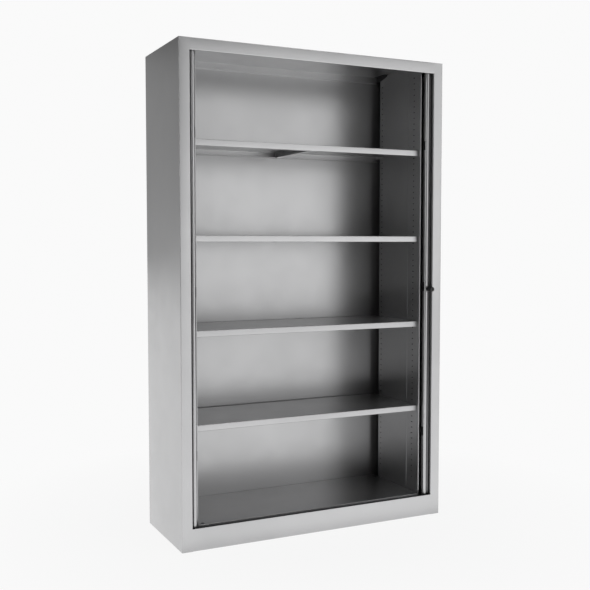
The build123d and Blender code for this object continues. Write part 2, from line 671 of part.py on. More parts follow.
def lock_bar():
    """The flat bar that links the three hooks, with a cross slot for each crank pin."""
    left_edge = NOSE_X + BAR_INNER
    bar = block((left_edge, left_edge + BAR_WIDTH), (BAR_Y, BAR_Y + BAR_THICK),
                (HOOK_ZS["lower"] - BAR_END, HOOK_ZS["upper"] + BAR_END))
    for z in HOOK_ZS.values():
        height = 2 * (CRANK_PIN_R + CRANK_PLAY)
        travel = CRANK_R - CRANK_SIDE
        slot = Pos(LOCK_X - CRANK_SIDE - travel / 2, z + CRANK_LIFT) * SlotCenterToCenter(
            travel + CRANK_PLAY, height)
        bar -= extrude(Plane.XZ.offset(-BAR_Y) * slot, -BAR_THICK)
    return bar


def lock_bar_guides():
    guides = []
    left_edge = NOSE_X + BAR_INNER
    passage = ((left_edge - GUIDE_CLEAR, left_edge + BAR_WIDTH + GUIDE_CLEAR),
               (BAR_Y - GUIDE_CLEAR, BAR_Y + BAR_THICK + GUIDE_CLEAR))
    for middle in GUIDE_ZS:
        z = (middle - GUIDE_HEIGHT / 2, middle + GUIDE_HEIGHT / 2)
        front_half = block((NOSE_X, LOCK_X + STILE_TUBE), (0, BAR_Y - GUIDE_LAP), z)
        body = upright(nose_outline(STILE_WALL), *z) - front_half
        guides.append(body - block(*passage, z))
    return guides


# ---- every node ----
def build():
    pieces = {
        "right_side_panel": side_panel(), "top_panel": top_panel(), "back_panel": back_panel(),
        "back_panel_screws": back_panel_screws(), "plinth_front": plinth_front(),
        "plinth_rear": plinth_rear(), "rear_top_rail": rear_top_rail(), "base_deck": base_deck(),
        "floor_pan": floor_pan(), "right_base_channel": base_channel(), "foot_nuts": foot_nuts(),
        "right_front_upright": front_upright(), "right_rear_upright": rear_upright(),
        "right_liner_panel": liner_panel(),
        "bottom_front_track": bottom_front_track(), "top_front_track": top_front_track(),
        "top_track_carrier": top_track_carrier(), "right_bottom_corner_track": bottom_corner_track(),
        "right_top_corner_track": top_corner_track(), "right_curtain": curtain(),
        "right_stile": lock_stile(), "right_stile_caps": stile_caps(), "right_slot_bezels": slot_bezels(),
        "lock_collar": lock_collar(), "lock_knob": lock_knob(), "lock_core": lock_core(),
        "hook_pivots": hook_pivots(), "lock_bar": lock_bar(), "lock_bar_guides": lock_bar_guides(),
    }
    for side in ("side_panel", "base_channel", "front_upright", "rear_upright", "liner_panel",
                 "bottom_corner_track", "top_corner_track"):
        pieces[f"left_{side}"] = left(pieces[f"right_{side}"])
    for side in ("curtain", "stile_caps", "slot_bezels"):
        pieces[f"left_{side}"] = [left(solid) for solid in pieces[f"right_{side}"]]
    pieces["left_stile"] = [left(strip) for strip in stile()]
    bracket = rear_top_bracket()
    pieces["rear_top_brackets"] = [bracket, left(bracket)]
    for place, z in HOOK_ZS.items():
        pieces[f"{place}_hook"] = hook(z)
    for number, top in enumerate(reversed(SHELF_TOPS), start=1):
        pieces[f"shelf_{number}"] = shelf(top)
        pieces[f"shelf_{number}_stiffener"] = shelf_stiffener(top)
        pieces[f"shelf_{number}_clips"] = shelf_clips(top)
    for row, y in zip(("front", "rear"), FOOT_YS):
        pieces[f"foot_{row}_left"] = Pos(-FOOT_X, y, 0) * foot()
        pieces[f"foot_{row}_right"] = Pos(FOOT_X, y, 0) * foot()
    return pieces


def save(name, piece):
    """Writes one node, moved from its depth behind the front plane to the part's frame."""
    solids = piece if isinstance(piece, list) else piece.solids()
    moved = [Pos(0, FRONT_Y, 0) * solid for part in solids for solid in part.solids()]
    export_step(moved[0] if len(moved) == 1 else Compound(children=moved), f"parts/{name}.step")


os.makedirs("parts", exist_ok=True)
for node, shape in build().items():
    save(node, shape)
print("door travel", DOOR_TRAVEL, "lock bar travel", round(2 * CRANK_LIFT, 4), "front plane at Y", FRONT_Y)
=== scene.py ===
import json
import math

import bpy
from bpy.props import FloatProperty, FloatVectorProperty, IntProperty, PointerProperty
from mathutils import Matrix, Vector

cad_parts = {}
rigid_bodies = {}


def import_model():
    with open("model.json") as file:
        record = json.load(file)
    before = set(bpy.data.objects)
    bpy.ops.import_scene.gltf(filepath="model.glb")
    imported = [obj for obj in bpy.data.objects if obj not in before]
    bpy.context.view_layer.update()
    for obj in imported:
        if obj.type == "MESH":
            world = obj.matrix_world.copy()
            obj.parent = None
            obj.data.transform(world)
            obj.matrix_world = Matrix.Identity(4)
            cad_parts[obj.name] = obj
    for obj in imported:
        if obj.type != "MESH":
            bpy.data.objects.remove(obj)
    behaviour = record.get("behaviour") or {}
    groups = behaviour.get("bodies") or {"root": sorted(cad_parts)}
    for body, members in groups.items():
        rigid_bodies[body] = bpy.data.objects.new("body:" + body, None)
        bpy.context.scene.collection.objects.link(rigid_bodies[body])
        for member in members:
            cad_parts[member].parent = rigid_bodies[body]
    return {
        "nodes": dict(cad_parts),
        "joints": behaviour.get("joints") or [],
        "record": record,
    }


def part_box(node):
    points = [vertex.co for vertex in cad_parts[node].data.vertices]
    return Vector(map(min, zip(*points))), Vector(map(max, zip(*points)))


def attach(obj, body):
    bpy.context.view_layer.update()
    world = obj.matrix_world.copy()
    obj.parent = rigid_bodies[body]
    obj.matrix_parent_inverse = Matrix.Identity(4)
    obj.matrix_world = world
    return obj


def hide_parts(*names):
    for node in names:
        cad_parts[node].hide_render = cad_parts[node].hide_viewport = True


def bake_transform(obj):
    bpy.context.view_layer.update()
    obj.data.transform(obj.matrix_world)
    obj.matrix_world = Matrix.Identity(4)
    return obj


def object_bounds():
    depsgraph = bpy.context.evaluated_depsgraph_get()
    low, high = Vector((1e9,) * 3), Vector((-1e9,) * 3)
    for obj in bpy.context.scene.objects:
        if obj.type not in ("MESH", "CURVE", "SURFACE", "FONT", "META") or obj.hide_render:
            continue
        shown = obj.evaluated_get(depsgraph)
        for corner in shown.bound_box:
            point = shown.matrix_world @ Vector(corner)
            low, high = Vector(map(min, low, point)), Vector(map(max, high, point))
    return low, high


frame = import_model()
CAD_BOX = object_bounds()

bl_info = {
    "name": "Roll Front Cabinet",
    "version": (1, 0, 0),
    "blender": (4, 5, 0),
    "location": "3D View > Sidebar > Cabinet",
    "description": "Finishes, roll fronts, fasteners and studio of a tall roll front tool cabinet",
    "category": "Object",
}

MM = 0.001
NODES = frame["nodes"]
SLOTS = {part["node"]: part["material_slot"] for part in frame["record"]["subparts"]}
JOINTS = {joint["name"]: joint for joint in frame["joints"]}


# ---- settings ----------------------------------------------------------------------------------

class PaintSettings(bpy.types.PropertyGroup):
    colour: FloatVectorProperty(
        name="Colour", description="Colour of the powder coat", subtype="COLOR",
        default=(0.405, 0.405, 0.409), min=0, max=1)
    metallic: FloatProperty(
        name="Metallic", description="Share of metal flake in the coat", subtype="FACTOR",
        default=0.9, min=0, max=1)
    roughness: FloatProperty(
        name="Roughness", description="Mean roughness of the coat", subtype="FACTOR",
        default=0.305, min=0, max=1)
    peel: FloatProperty(
        name="Orange peel", description="Size of the coat's orange peel", unit="LENGTH",
        default=2.2 * MM, min=0.1 * MM)


class SlatSettings(bpy.types.PropertyGroup):
    pitch: FloatProperty(
        name="Pitch", description="Distance from one slat to the next", unit="LENGTH",
        default=16 * MM, min=5 * MM)
    gap: FloatProperty(
        name="Gap", description="Gap between two slats", unit="LENGTH",
        default=0.6 * MM, min=0)
    thickness: FloatProperty(
        name="Thickness", description="Thickness of a slat", unit="LENGTH",
        default=6.4 * MM, min=1 * MM)
    rounding: FloatProperty(
        name="Rounding", description="Radius along a slat's edges", unit="LENGTH",
        default=1.6 * MM, min=0.1 * MM)


class FittingSettings(bpy.types.PropertyGroup):
    ribs: IntProperty(
        name="Knob ribs", description="Number of grip ribs round the knob",
        default=26, min=6)
    rib: FloatProperty(
        name="Rib radius", description="Radius of one grip rib", unit="LENGTH",
        default=0.55 * MM, min=0.1 * MM)
    screw_head: FloatProperty(
        name="Screw head", description="Radius of a screw's pan head", unit="LENGTH",
        default=3.9 * MM, min=1 * MM)
    thread_pitch: FloatProperty(
        name="Thread pitch", description="Pitch of the levelling feet's thread", unit="LENGTH",
        default=1.5 * MM, min=0.5 * MM)


class StudioSettings(bpy.types.PropertyGroup):
    key: FloatProperty(
        name="Key light", description="Brightness of the large light at the front right",
        default=1.25, min=0)
    strips: FloatProperty(
        name="Strip lights", description="Brightness of the narrow upright lights",
        default=4.5, min=0)
    overhead: FloatProperty(
        name="Overhead light", description="Brightness of the light above the front",
        default=4.5, min=0)
    rear: FloatProperty(
        name="Rear card", description="Brightness of the card behind the left side",
        default=0.31, min=0)
    ambient: FloatProperty(
        name="Surround", description="Brightness of the room around the object",
        default=0.11, min=0, max=2)
    front_floor: FloatProperty(
        name="Front floor", description="Brightness of the floor in front as the object sees it",
        default=1.82, min=0)
    rear_floor: FloatProperty(
        name="Rear floor", description="Brightness of the floor behind as the object sees it",
        default=1.4, min=0)
    backdrop: FloatVectorProperty(
        name="Backdrop", description="Colour of the floor and the backdrop", subtype="COLOR",
        default=(0.955, 0.955, 0.955), min=0, max=1)


# ---- node trees --------------------------------------------------------------------------------

LENGTH, COUNT, PLACE = "NodeSocketFloat", "NodeSocketInt", "NodeSocketVector"
MATERIAL = "NodeSocketMaterial"


def feed(links, socket, value):
    """Links a socket to another node's output, or sets it to a plain value."""
    if isinstance(value, bpy.types.NodeSocket):
        links.new(value, socket)
    elif value is not None:
        socket.default_value = value


def enabled(sockets):
    return [socket for socket in sockets if socket.enabled]


class Tree:
    """A Geometry Nodes tree with named inputs, built one node at a time."""

    def __init__(self, name, **inputs):
        self.group = bpy.data.node_groups.new(name, "GeometryNodeTree")
        self.nodes, self.links = self.group.nodes, self.group.links
        self.ids = {}
        for label, (kind, value) in {"Geometry": ("NodeSocketGeometry", None), **inputs}.items():
            socket = self.group.interface.new_socket(label, in_out="INPUT", socket_type=kind)
            self.ids[label] = socket.identifier
            if value is not None and kind != MATERIAL:
                socket.default_value = value
        self.values = {label: value for label, (kind, value) in inputs.items()}
        self.group.interface.new_socket("Geometry", in_out="OUTPUT",
                                        socket_type="NodeSocketGeometry")
        self.start = self.nodes.new("NodeGroupInput")
        self.end = self.nodes.new("NodeGroupOutput")

    def __getitem__(self, label):
        return self.start.outputs[label]

    def add(self, kind, *wires, inputs=None, **settings):
        """Adds a node, wires or sets its first inputs in order, and returns its first output."""
        node = self.nodes.new(kind)
        for key, value in settings.items():
            setattr(node, key, value)
        for socket, wire in zip(enabled(node.inputs), wires):
            feed(self.links, socket, wire)
        for key, wire in (inputs or {}).items():
            feed(self.links, node.inputs[key], wire)
        return enabled(node.outputs)[0]

    def math(self, operation, a, b=None):
        return self.add("ShaderNodeMath", a, b, operation=operation)

    def vector(self, x=0.0, y=0.0, z=0.0):
        return self.add("ShaderNodeCombineXYZ", x, y, z)

    def line(self, start, end, points=2):
        """A straight line, divided evenly where it has more than two points."""
        line = self.add("GeometryNodeCurvePrimitiveLine", start, end)
        if points > 2:
            line = self.add("GeometryNodeResampleCurve", line, inputs={"Count": points})
        return line

    def circle(self, sides, radius):
        return self.add("GeometryNodeCurvePrimitiveCircle", sides, inputs={"Radius": radius})

    def sweep(self, line, outline, **inputs):
        """A closed bar with one outline all along a line."""
        return self.add("GeometryNodeCurveToMesh", line, outline,
                        inputs={"Fill Caps": True, **inputs})

    def move(self, geometry, **inputs):
        return self.add("GeometryNodeTransform", geometry, inputs=inputs)

    def repeat(self, points, shape, **inputs):
        """One copy of a shape on every point."""
        return self.add("GeometryNodeInstanceOnPoints", points,
                        inputs={"Instance": shape, **inputs})

    def close(self, geometry, material):
        """Ends the tree in plain geometry of one material."""
        plain = self.add("GeometryNodeRealizeInstances", geometry)
        plain = self.add("GeometryNodeSetMaterial", plain, inputs={"Material": material})
        self.links.new(plain, self.end.inputs[0])

    def fit(self, obj):
        """Puts the tree on an object as a modifier and sets its inputs by identifier."""
        modifier = obj.modifiers.new(self.group.name, "NODES")
        modifier.node_group = self.group
        for label, value in self.values.items():
            modifier[self.ids[label]] = value

    def piece(self, name, points=()):
        """The tree's result as a plain mesh object, made on loose points where it needs them."""
        seed = bpy.data.meshes.new(name + "_seed")
        seed.from_pydata(points, [], [])
        obj = bpy.data.objects.new(name, seed)
        bpy.context.scene.collection.objects.link(obj)
        self.fit(obj)
        view = bpy.context.evaluated_depsgraph_get()
        mesh = bpy.data.meshes.new_from_object(obj.evaluated_get(view), depsgraph=view)
        obj.modifiers.clear()
        mesh.name = name
        obj.data = mesh
        if not mesh.polygons:
            raise RuntimeError(name + " came out empty")
        for slot in reversed(range(len(mesh.materials))):
            if mesh.materials[slot] is None:
                mesh.materials.pop(index=slot)
        return obj


class Shader:
    """The shader nodes of a material or a world, built one at a time."""

    def __init__(self, owner, output="ShaderNodeOutputMaterial"):
        owner.use_nodes = True
        self.nodes, self.links = owner.node_tree.nodes, owner.node_tree.links
        self.nodes.clear()
        self.output = self.add(output).inputs["Surface"]

    def add(self, kind, **values):
        """Adds a node and wires or sets the inputs that are named."""
        node = self.nodes.new(kind)
        node.location = (-220 * len(self.nodes), 0)
        for label, value in values.items():
            feed(self.links, node.inputs[label.replace("_", " ").title()], value)
        return node

    def math(self, operation, *values):
        node = self.add("ShaderNodeMath")
        node.operation = operation
        for socket, value in zip(node.inputs, values):
            feed(self.links, socket, value)
        return node.outputs[0]

    def split(self, vector):
        """The outputs X, Y and Z of a vector."""
        return self.add("ShaderNodeSeparateXYZ", vector=vector).outputs

    def either(self, share, first, second):
        """A mix of two shaders, the second by its share."""
        mix = self.add("ShaderNodeMixShader")
        for socket, value in zip(mix.inputs, (share, first, second)):
            feed(self.links, socket, value)
        return mix.outputs[0]

    def close(self, surface):
        self.links.new(surface, self.output)


# ---- materials ---------------------------------------------------------------------------------

PATTERN_RANGE = (0.3, 0.7)      # the values between which a noise does most of its changing


class Finish(Shader):
    """A material of one Principled surface, whose patterns read object coordinates."""

    def __init__(self, name, **numbers):
        self.material = bpy.data.materials.new(name)
        super().__init__(self.material)
        self.surface = self.add("ShaderNodeBsdfPrincipled", **numbers)
        self.close(self.surface.outputs["BSDF"])
        self.place = self.add("ShaderNodeTexCoord").outputs["Object"]

    def noise(self, size, detail=2.0, stretch=(1, 1, 1)):
        """A noise whose features are about one size across, in metres, longer where stretched."""
        mapping = self.add("ShaderNodeMapping", vector=self.place, scale=stretch)
        return self.add("ShaderNodeTexNoise", vector=mapping.outputs["Vector"],
                        scale=1 / size, detail=detail).outputs["Fac"]

    def cells(self, size):
        """Random patches, each about one size across, in metres."""
        return self.add("ShaderNodeTexVoronoi", vector=self.place,
                        scale=1 / size).outputs["Distance"]

    def rear_faces(self):
        """One on faces that look to the rear or inwards from a side cavity, elsewhere zero: the
        faces that take painted shade.
        """
        normal = self.split(self.add("ShaderNodeNewGeometry").outputs["Normal"])
        side = self.math("SIGN", self.split(self.place)["X"])
        inward = self.math("MULTIPLY", self.math("MULTIPLY", normal["X"], side), -1.0)
        return self.math("GREATER_THAN", self.math("MAXIMUM", inward, normal["Y"]), 0.5)

    def spread(self, pattern, low, high, socket):
        """Runs a pattern between two values into a socket of the surface."""
        start, end = PATTERN_RANGE
        node = self.add("ShaderNodeMapRange", value=pattern, from_min=start, from_max=end,
                        to_min=low, to_max=high)
        self.links.new(node.outputs["Result"], self.surface.inputs[socket])

    def tint(self, pattern, dark, light):
        """Runs a pattern between two colours into the base colour."""
        node = self.add("ShaderNodeValToRGB")
        for stop, place, colour in zip(node.color_ramp.elements, PATTERN_RANGE, (dark, light)):
            stop.position, stop.color = place, (*colour, 1)
        self.links.new(pattern, node.inputs["Fac"])
        self.links.new(node.outputs["Color"], self.surface.inputs["Base Color"])

    def cover(self, mask, colour):
        """Puts one colour over the base colour where a mask is one."""
        node = self.add("ShaderNodeMix")
        node.data_type = "RGBA"
        base = self.surface.inputs["Base Color"]
        wires = (mask, base.links[0].from_socket, (*colour, 1))
        for socket, value in zip(enabled(node.inputs), wires):
            feed(self.links, socket, value)
        self.links.new(enabled(node.outputs)[0], base)

    def relief(self, *layers):
        """Stacks bump layers, each a pattern with its height in metres and its strength."""
        below = None
        for pattern, height, strength in layers:
            bump = self.add("ShaderNodeBump", height=pattern, distance=height, strength=strength,
                            normal=below)
            below = bump.outputs["Normal"]
        self.links.new(below, self.surface.inputs["Normal"])


def shade(colour, factor):
    return tuple(min(1.0, channel * factor) for channel in colour)


def body_paint():
    """Metallic powder coat: fine orange peel, flakes and a slow drift in tone over each sheet."""
    paint = bpy.context.scene.cabinet_paint
    tone_drift, gloss_drift = 0.03, 0.02
    finish = Finish("body_paint", metallic=paint.metallic)
    finish.tint(finish.noise(0.35, detail=1),
                shade(paint.colour, 1 - tone_drift), shade(paint.colour, 1 + tone_drift))
    finish.spread(finish.noise(0.08, detail=3),
                  paint.roughness - gloss_drift, paint.roughness + gloss_drift, "Roughness")
    finish.relief((finish.noise(paint.peel, detail=3), 0.02 * MM, 0.4),
                  (finish.cells(paint.peel / 4), 0.004 * MM, 0.3))
    return finish.material


def stile_metal():
    """Satin aluminium extrusion with fine lines along its length."""
    finish = Finish("stile_metal", metallic=0.95)
    lines = finish.noise(0.9 * MM, detail=2, stretch=(1, 1, 0.012))
    finish.tint(lines, (0.36, 0.36, 0.364), (0.42, 0.42, 0.424))
    finish.spread(lines, 0.28, 0.33, "Roughness")
    finish.relief((lines, 0.01 * MM, 0.3))
    return finish.material


def black_plastic():
    """Moulded black plastic with a fine spark-eroded grain."""
    finish = Finish("black_plastic")
    grain = finish.noise(0.5 * MM, detail=4)
    finish.tint(finish.noise(0.02, detail=2), (0.010, 0.010, 0.011), (0.018, 0.018, 0.019))
    finish.spread(grain, 0.36, 0.48, "Roughness")
    finish.relief((grain, 0.02 * MM, 0.5))
    return finish.material


def curtain_slat():
    """Slightly silky silver-grey slats with faint draw lines, and painted shade of near black on
    faces that look to the rear or inwards from a side cavity.
    """
    finish = Finish("curtain_slat")
    lines = finish.noise(1.2 * MM, detail=2, stretch=(1, 1, 0.02))
    finish.tint(lines, (0.40, 0.40, 0.405), (0.46, 0.46, 0.465))
    # painted shade: near black over faces that look to the rear or inwards from a side cavity,
    # which darkens the cavity behind the liners' slots
    finish.cover(finish.rear_faces(), (0.07, 0.07, 0.072))
    finish.spread(finish.noise(0.05, detail=2), 0.32, 0.40, "Roughness")
    finish.relief((lines, 0.01 * MM, 0.3))
    return finish.material


def zinc_steel():
    """Bright zinc plating: small spangled patches that differ in tone and gloss."""
    finish = Finish("zinc_steel", metallic=1.0)
    patches = finish.cells(6 * MM)
    finish.tint(patches, (0.42, 0.43, 0.45), (0.56, 0.57, 0.58))
    finish.spread(patches, 0.28, 0.46, "Roughness")
    finish.relief((finish.noise(0.8 * MM, detail=3), 0.02 * MM, 0.4))
    return finish.material


def lock_metal():
    """Dark burnished lock face with fine turning marks."""
    finish = Finish("lock_metal", metallic=1.0)
    marks = finish.noise(0.25 * MM, detail=2, stretch=(1, 1, 0.2))
    finish.tint(marks, (0.02, 0.02, 0.02), (0.035, 0.035, 0.034))
    finish.spread(marks, 0.28, 0.36, "Roughness")
    finish.relief((marks, 0.01 * MM, 0.3))
    return finish.material


FITTING_FINISHES = (stile_metal, black_plastic, curtain_slat, zinc_steel, lock_metal)


def nodes_in(slot):
    return [node for node, name in SLOTS.items() if name == slot]


def coat(make):
    """Gives the CAD nodes of a slot its finish in place of the plain colour that they load with."""
    material = make()
    for name in nodes_in(make.__name__):
        for slot in NODES[name].material_slots:
            slot.material = material


def finish_on(slot):
    """The finish that the CAD nodes of a slot carry."""
    return NODES[nodes_in(slot)[0]].material_slots[0].material


# ---- finishing the CAD nodes -------------------------------------------------------------------

SHARP_BEND = math.radians(30)
MERGE_REACH = 0.01 * MM


class CABINET_OT_finish_sheet_metal(bpy.types.Operator):
    """Coats every painted sheet of the casing, the liners and the shelves"""
    bl_idname = "cabinet.finish_sheet_metal"
    bl_label = "Finish sheet metal"

    def execute(self, context):
        coat(body_paint)
        return {"FINISHED"}


class CABINET_OT_finish_fittings(bpy.types.Operator):
    """Gives the stiles, slats, lock, tracks and zinc-plated fittings their finishes"""
    bl_idname = "cabinet.finish_fittings"
    bl_label = "Finish fittings"

    def execute(self, context):
        for make in FITTING_FINISHES:
            coat(make)
        return {"FINISHED"}


class CABINET_OT_smooth_bends(bpy.types.Operator):
    """Shades bends, rounds and bores of every CAD node as smooth, and keeps sheet edges crisp"""
    bl_idname = "cabinet.smooth_bends"
    bl_label = "Smooth bends"

    def execute(self, context):
        tree = Tree("smooth_bends", **{"Merge": (LENGTH, MERGE_REACH),
                                       "Sharp angle": (LENGTH, SHARP_BEND)})
        joined = tree.add("GeometryNodeMergeByDistance", tree["Geometry"],
                          inputs={"Distance": tree["Merge"]})
        smooth = tree.add("GeometryNodeSetShadeSmooth", joined, True, True)
        crisp = tree.add("FunctionNodeCompare", tree.add("GeometryNodeInputMeshEdgeAngle"),
                         tree["Sharp angle"], operation="GREATER_THAN", data_type="FLOAT")
        edges = tree.add("GeometryNodeSetShadeSmooth", smooth, crisp, False, domain="EDGE")
        tree.links.new(edges, tree.end.inputs[0])
        for obj in NODES.values():
            tree.fit(obj)
        return {"FINISHED"}


# ---- roll fronts -------------------------------------------------------------------------------

ROW_DEPTH = 3.5 * MM        # from a curtain's front face to the middle of its slats
GATHER_WIDTH = 8 * MM       # strip beside the open stile that holds a row until it is drawn
GATHER_STEPS = 50           # halvings that find where each point of the row starts
EDGE_CUTS = 3               # points on each rounded edge of a slat


def slat_row(width, low, high, depth, slats):
    """Upright slats side by side from X 0, each a rounded bar from the bottom track to the top."""
    tree = Tree("slat_row", **{
        "Slats": (COUNT, round(width / slats.pitch)), "Pitch": (LENGTH, slats.pitch),
        "Width": (LENGTH, slats.pitch - slats.gap), "Thickness": (LENGTH, slats.thickness),
        "Rounding": (LENGTH, slats.rounding), "Bottom": (LENGTH, low), "Top": (LENGTH, high),
        "Depth": (LENGTH, depth), "Finish": (MATERIAL, finish_on("curtain_slat"))})
    outline = tree.add("GeometryNodeCurvePrimitiveQuadrilateral", tree["Width"], tree["Thickness"])
    outline = tree.add("GeometryNodeFilletCurve", outline, mode="POLY",
                       inputs={"Count": EDGE_CUTS, "Radius": tree["Rounding"]})
    slat = tree.sweep(tree.line(tree.vector(z=tree["Bottom"]), tree.vector(z=tree["Top"])),
                      outline)
    first = tree.vector(tree.math("MULTIPLY", tree["Pitch"], 0.5), tree["Depth"])
    places = tree.add("GeometryNodeMeshLine", inputs={
        "Count": tree["Slats"], "Offset": tree.vector(tree["Pitch"]), "Start Location": first})
    tree.close(tree.repeat(places, slat), tree["Finish"])
    return tree


class CABINET_OT_hang_roll_fronts(bpy.types.Operator):
    """Adds the slats that each roll front draws across the opening behind its stile"""
    bl_idname = "cabinet.hang_roll_fronts"
    bl_label = "Hang roll fronts"

    def execute(self, context):
        slats = context.scene.cabinet_slats
        low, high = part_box("right_curtain")
        stile_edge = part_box("right_stile")[1].x + slats.gap
        anchor = math.ceil(stile_edge / MM) * MM + GATHER_WIDTH
        for side, sign in (("right", 1), ("left", -1)):
            travel = JOINTS[side + "_door_slide"]["range_m"][1]
            tree = slat_row(travel, low.z, high.z, low.y + ROW_DEPTH, slats)
            row = tree.piece(side + "_roll_front")
            self.draw_in(row.data, sign, stile_edge, anchor, travel)
            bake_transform(row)
        return {"FINISHED"}

    def draw_in(self, mesh, sign, edge, anchor, travel):
        """Moves a closed row to where its points start, gathered beside the stile."""
        for vertex in mesh.vertices:
            closed = edge - travel + vertex.co.x
            low, high = edge, anchor
            for _ in range(GATHER_STEPS):
                middle = (low + high) / 2
                share = (anchor - middle) / (anchor - edge)
                drawn = travel * share * share * (3 - 2 * share)
                if middle - drawn < closed:
                    low = middle
                else:
                    high = middle
            vertex.co.x = sign * low
        if sign < 0:
            mesh.flip_normals()
        mesh.update()


# ---- fasteners and grips -----------------------------------------------------------------------

RIB_FRONT, RIB_BACK = 4 * MM, 20.5 * MM     # both ends of a grip rib, behind the knob's face
RIB_TAPER = 1.15 * MM                       # how much nearer to the axis a rib's front end is
RIB_SWELL = 0.35                            # a lower power gives a rib blunter ends
RIB_SIDES, RIB_POINTS = 8, 7

SCREW_HEIGHT_SHARES = (0.06, 0.28, 0.5, 0.72, 0.94)
SCREW_SETBACK = 0.1 * MM                    # from the rim of a head to the CAD screws' edge
HEAD_SIDES, HEAD_POINTS = 20, 7
DOME_POWER, DOME_CROWN = 2.6, 0.3           # how square a head's side is, and its flat top's share
RECESS_DEPTH = 0.9 * MM
RECESS_LENGTH, RECESS_WIDTH = 1.2, 0.24     # an arm of the cross, as shares of the head's radius

THREAD_ABOVE_PAD, THREAD_OFF_ENDS = 11 * MM, 13 * MM
THREAD_R, RIDGE_R = 4.75 * MM, 0.5 * MM
THREAD_POINTS, RIDGE_SIDES = 16, 4          # per turn, and round the ridge


class CABINET_OT_rib_the_knob(bpy.types.Operator):
    """Adds the grip ribs round the knob of the lock"""
    bl_idname = "cabinet.rib_the_knob"
    bl_label = "Rib the knob"

    def execute(self, context):
        fittings = context.scene.cabinet_fittings
        low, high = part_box("lock_knob")
        tree = Tree("knob_ribs", **{
            "Ribs": (COUNT, fittings.ribs), "Rib": (LENGTH, fittings.rib),
            "Radius": (LENGTH, (high.x - low.x) / 2), "Taper": (LENGTH, RIB_TAPER),
            "Front": (LENGTH, low.y + RIB_FRONT), "Back": (LENGTH, low.y + RIB_BACK),
            "Across": (LENGTH, (low.x + high.x) / 2),
            "Up": (LENGTH, JOINTS["lock_turn"]["pos_m"][2]),
            "Finish": (MATERIAL, finish_on("black_plastic"))})
        front_radius = tree.math("SUBTRACT", tree["Radius"], tree["Taper"])
        line = tree.line(tree.vector(front_radius, tree["Front"]),
                         tree.vector(tree["Radius"], tree["Back"]), RIB_POINTS)
        along = tree.add("GeometryNodeSplineParameter")
        rest = tree.math("SUBTRACT", 1.0, along)
        bulge = tree.math("MULTIPLY", tree.math("MULTIPLY", along, rest), 4.0)
        rib = tree.sweep(line, tree.circle(RIB_SIDES, tree["Rib"]),
                         Scale=tree.math("POWER", bulge, RIB_SWELL))
        turns = tree.add("GeometryNodeMeshLine", inputs={
            "Count": tree["Ribs"], "Offset": (0, 0, 0),
            "Start Location": tree.vector(tree["Across"], 0, tree["Up"])})
        step = tree.math("DIVIDE", math.tau, tree["Ribs"])
        angle = tree.math("MULTIPLY", tree.add("GeometryNodeInputIndex"), step)
        tree.close(tree.repeat(turns, rib, Rotation=tree.vector(y=angle)), tree["Finish"])
        ribs = tree.piece("knob_ribs")
        ribs.data.shade_smooth()
        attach(ribs, "lock_cylinder")
        return {"FINISHED"}


class CABINET_OT_drive_screws(bpy.types.Operator):
    """Puts cross-recessed pan heads where the back panel is screwed to the rear returns"""
    bl_idname = "cabinet.drive_screws"
    bl_label = "Drive screws"

    def execute(self, context):
        low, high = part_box("back_panel_screws")
        radius = context.scene.cabinet_fittings.screw_head
        across = high.x - radius - SCREW_SETBACK
        spots = [(side * across, low.y, CAD_BOX[1].z * share)
                 for side in (-1, 1) for share in SCREW_HEIGHT_SHARES]
        tree = Tree("pan_heads", **{
            "Head": (LENGTH, radius), "Rise": (LENGTH, high.y - low.y),
            "Recess": (LENGTH, RECESS_DEPTH), "Finish": (MATERIAL, finish_on("zinc_steel"))})
        top = tree.vector(y=tree["Rise"])
        along = tree.add("GeometryNodeSplineParameter")
        fall = tree.math("SUBTRACT", 1.0, tree.math("POWER", along, DOME_POWER))
        dome = tree.math("MAXIMUM", tree.math("POWER", fall, 0.5), DOME_CROWN)
        head = tree.sweep(tree.line((0, 0, 0), top, HEAD_POINTS),
                          tree.circle(HEAD_SIDES, tree["Head"]), Scale=dome)
        length = tree.math("MULTIPLY", tree["Head"], RECESS_LENGTH)
        width = tree.math("MULTIPLY", tree["Head"], RECESS_WIDTH)
        arm = tree.add("GeometryNodeMeshCube", tree.vector(length, tree["Recess"], width))
        cross = tree.add("GeometryNodeJoinGeometry", arm)
        tree.links.new(tree.move(arm, Rotation=(0, math.radians(90), 0)), cross.node.inputs[0])
        cut = tree.add("GeometryNodeMeshBoolean", head, tree.move(cross, Translation=top),
                       operation="DIFFERENCE")
        points = tree.add("GeometryNodeMeshToPoints", tree["Geometry"])
        tree.close(tree.repeat(points, cut), tree["Finish"])
        screws = tree.piece("pan_head_screws", spots)
        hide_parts("back_panel_screws")
        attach(screws, "carcase")
        return {"FINISHED"}


